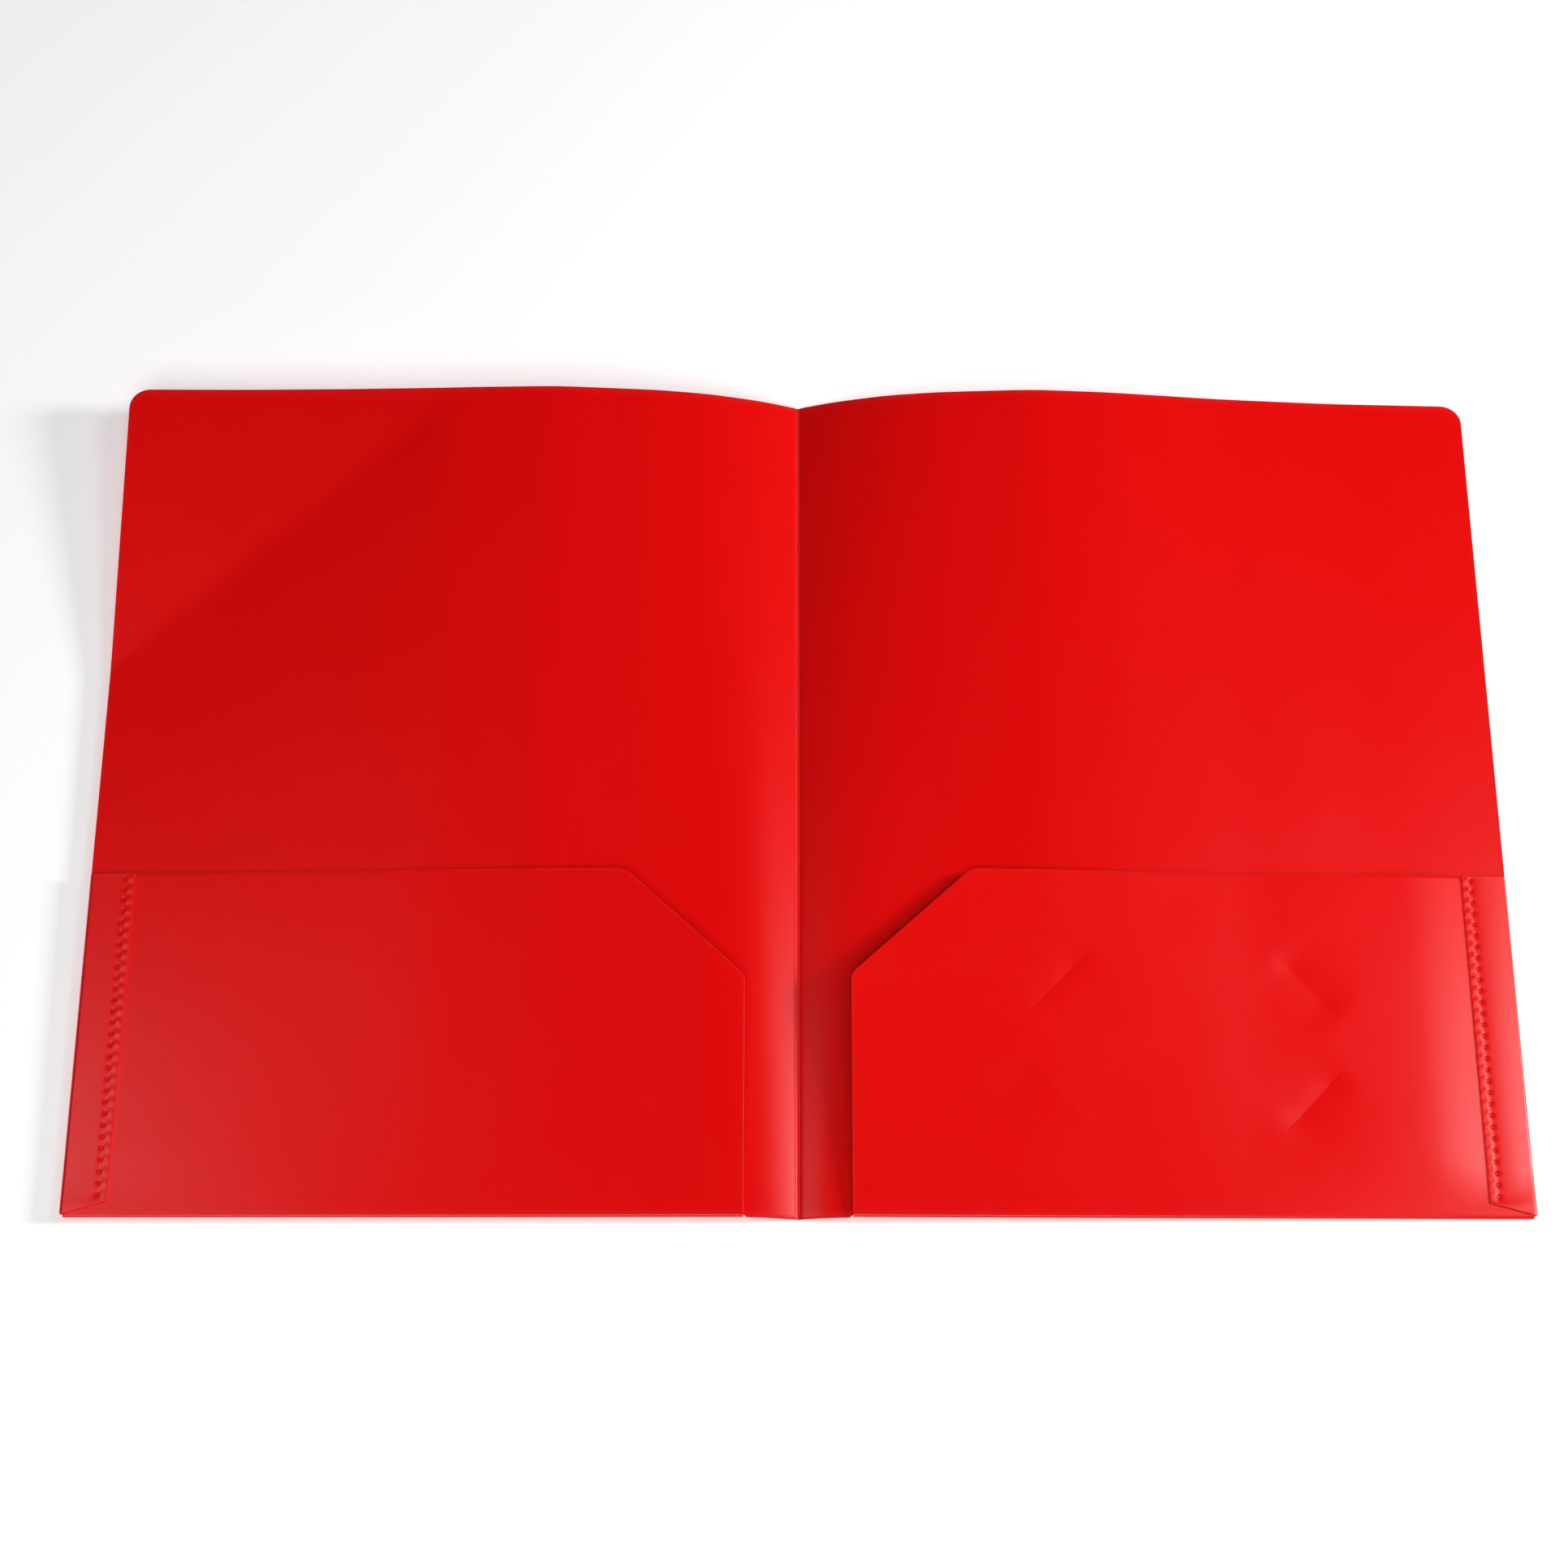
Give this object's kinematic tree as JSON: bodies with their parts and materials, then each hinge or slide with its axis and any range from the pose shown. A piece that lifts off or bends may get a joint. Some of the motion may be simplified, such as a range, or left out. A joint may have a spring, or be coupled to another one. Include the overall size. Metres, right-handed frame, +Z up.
{
  "type": "two pocket folder",
  "caption": "Open plastic folder with a creased spine, pockets folded up along the bottom edge, welded side flaps, and slits that hold a card.",
  "frame": {"origin": "on the table, at the middle of the crease of the open folder", "axes": "+X across both leaves towards the leaf with the card slits, +Y up the page away from the pockets' folded edge, +Z up"},
  "size_m": [0.4724, 0.2986, 0.0164],
  "materials": {
    "sheet": "satin red polypropylene sheet",
    "fold": "satin red polypropylene, polished by the fold",
    "weld": "red polypropylene, remelted weld marks",
    "crease": "red polypropylene, scored crease"
  },
  "bodies": {
    "right_leaf": {"right_cover": "sheet", "right_bottom_fold": "fold", "right_pocket": "sheet", "right_side_fold": "fold", "right_side_flap": "sheet", "right_weld_row": "weld"},
    "right_gutter": {"right_gutter": "sheet", "spine_crease": "crease"},
    "left_gutter": {"left_gutter": "sheet"},
    "left_leaf": {"left_cover": "sheet", "left_bottom_fold": "fold", "left_pocket": "sheet", "left_side_fold": "fold", "left_side_flap": "sheet", "left_weld_row": "weld"},
    "right_mouth": {"right_pocket_mouth": "sheet"},
    "left_mouth": {"left_pocket_mouth": "sheet"}
  },
  "joints": [
    {"name": "right_gutter_flex", "type": "hinge", "parent": "right_leaf", "child": "right_gutter", "pos_m": [0.0165, -0.15035, 0.0025], "axis": [0.0513, 0.9984, 0.0248], "range_deg": [0, 33]},
    {"name": "spine_fold", "type": "hinge", "parent": "right_gutter", "child": "left_gutter", "pos_m": [0, 0, 0.0003], "axis": [0, 1, 0], "range_deg": [0, 115.5]},
    {"name": "left_gutter_flex", "type": "hinge", "parent": "left_gutter", "child": "left_leaf", "pos_m": [-0.0165, -0.15035, 0.0025], "axis": [-0.0513, 0.9984, 0.0248], "range_deg": [0, 33]},
    {"name": "right_mouth_flex", "type": "hinge", "parent": "right_leaf", "child": "right_mouth", "pos_m": [0.0175, -0.14835, 0.00384], "axis": [0.439, 0.898, 0.0305], "range_deg": [-5, 0], "stiffness_Nm_per_rad": 0.15},
    {"name": "left_mouth_flex", "type": "hinge", "parent": "left_leaf", "child": "left_mouth", "pos_m": [-0.0175, -0.14835, 0.00385], "axis": [-0.4388, 0.8976, 0.0417], "range_deg": [0, 5], "stiffness_Nm_per_rad": 0.15}
  ],
  "couplings": [
    {"joint": "spine_fold", "follows": "right_gutter_flex", "ratio": 3.5},
    {"joint": "left_gutter_flex", "follows": "right_gutter_flex", "ratio": 1}
  ]
}
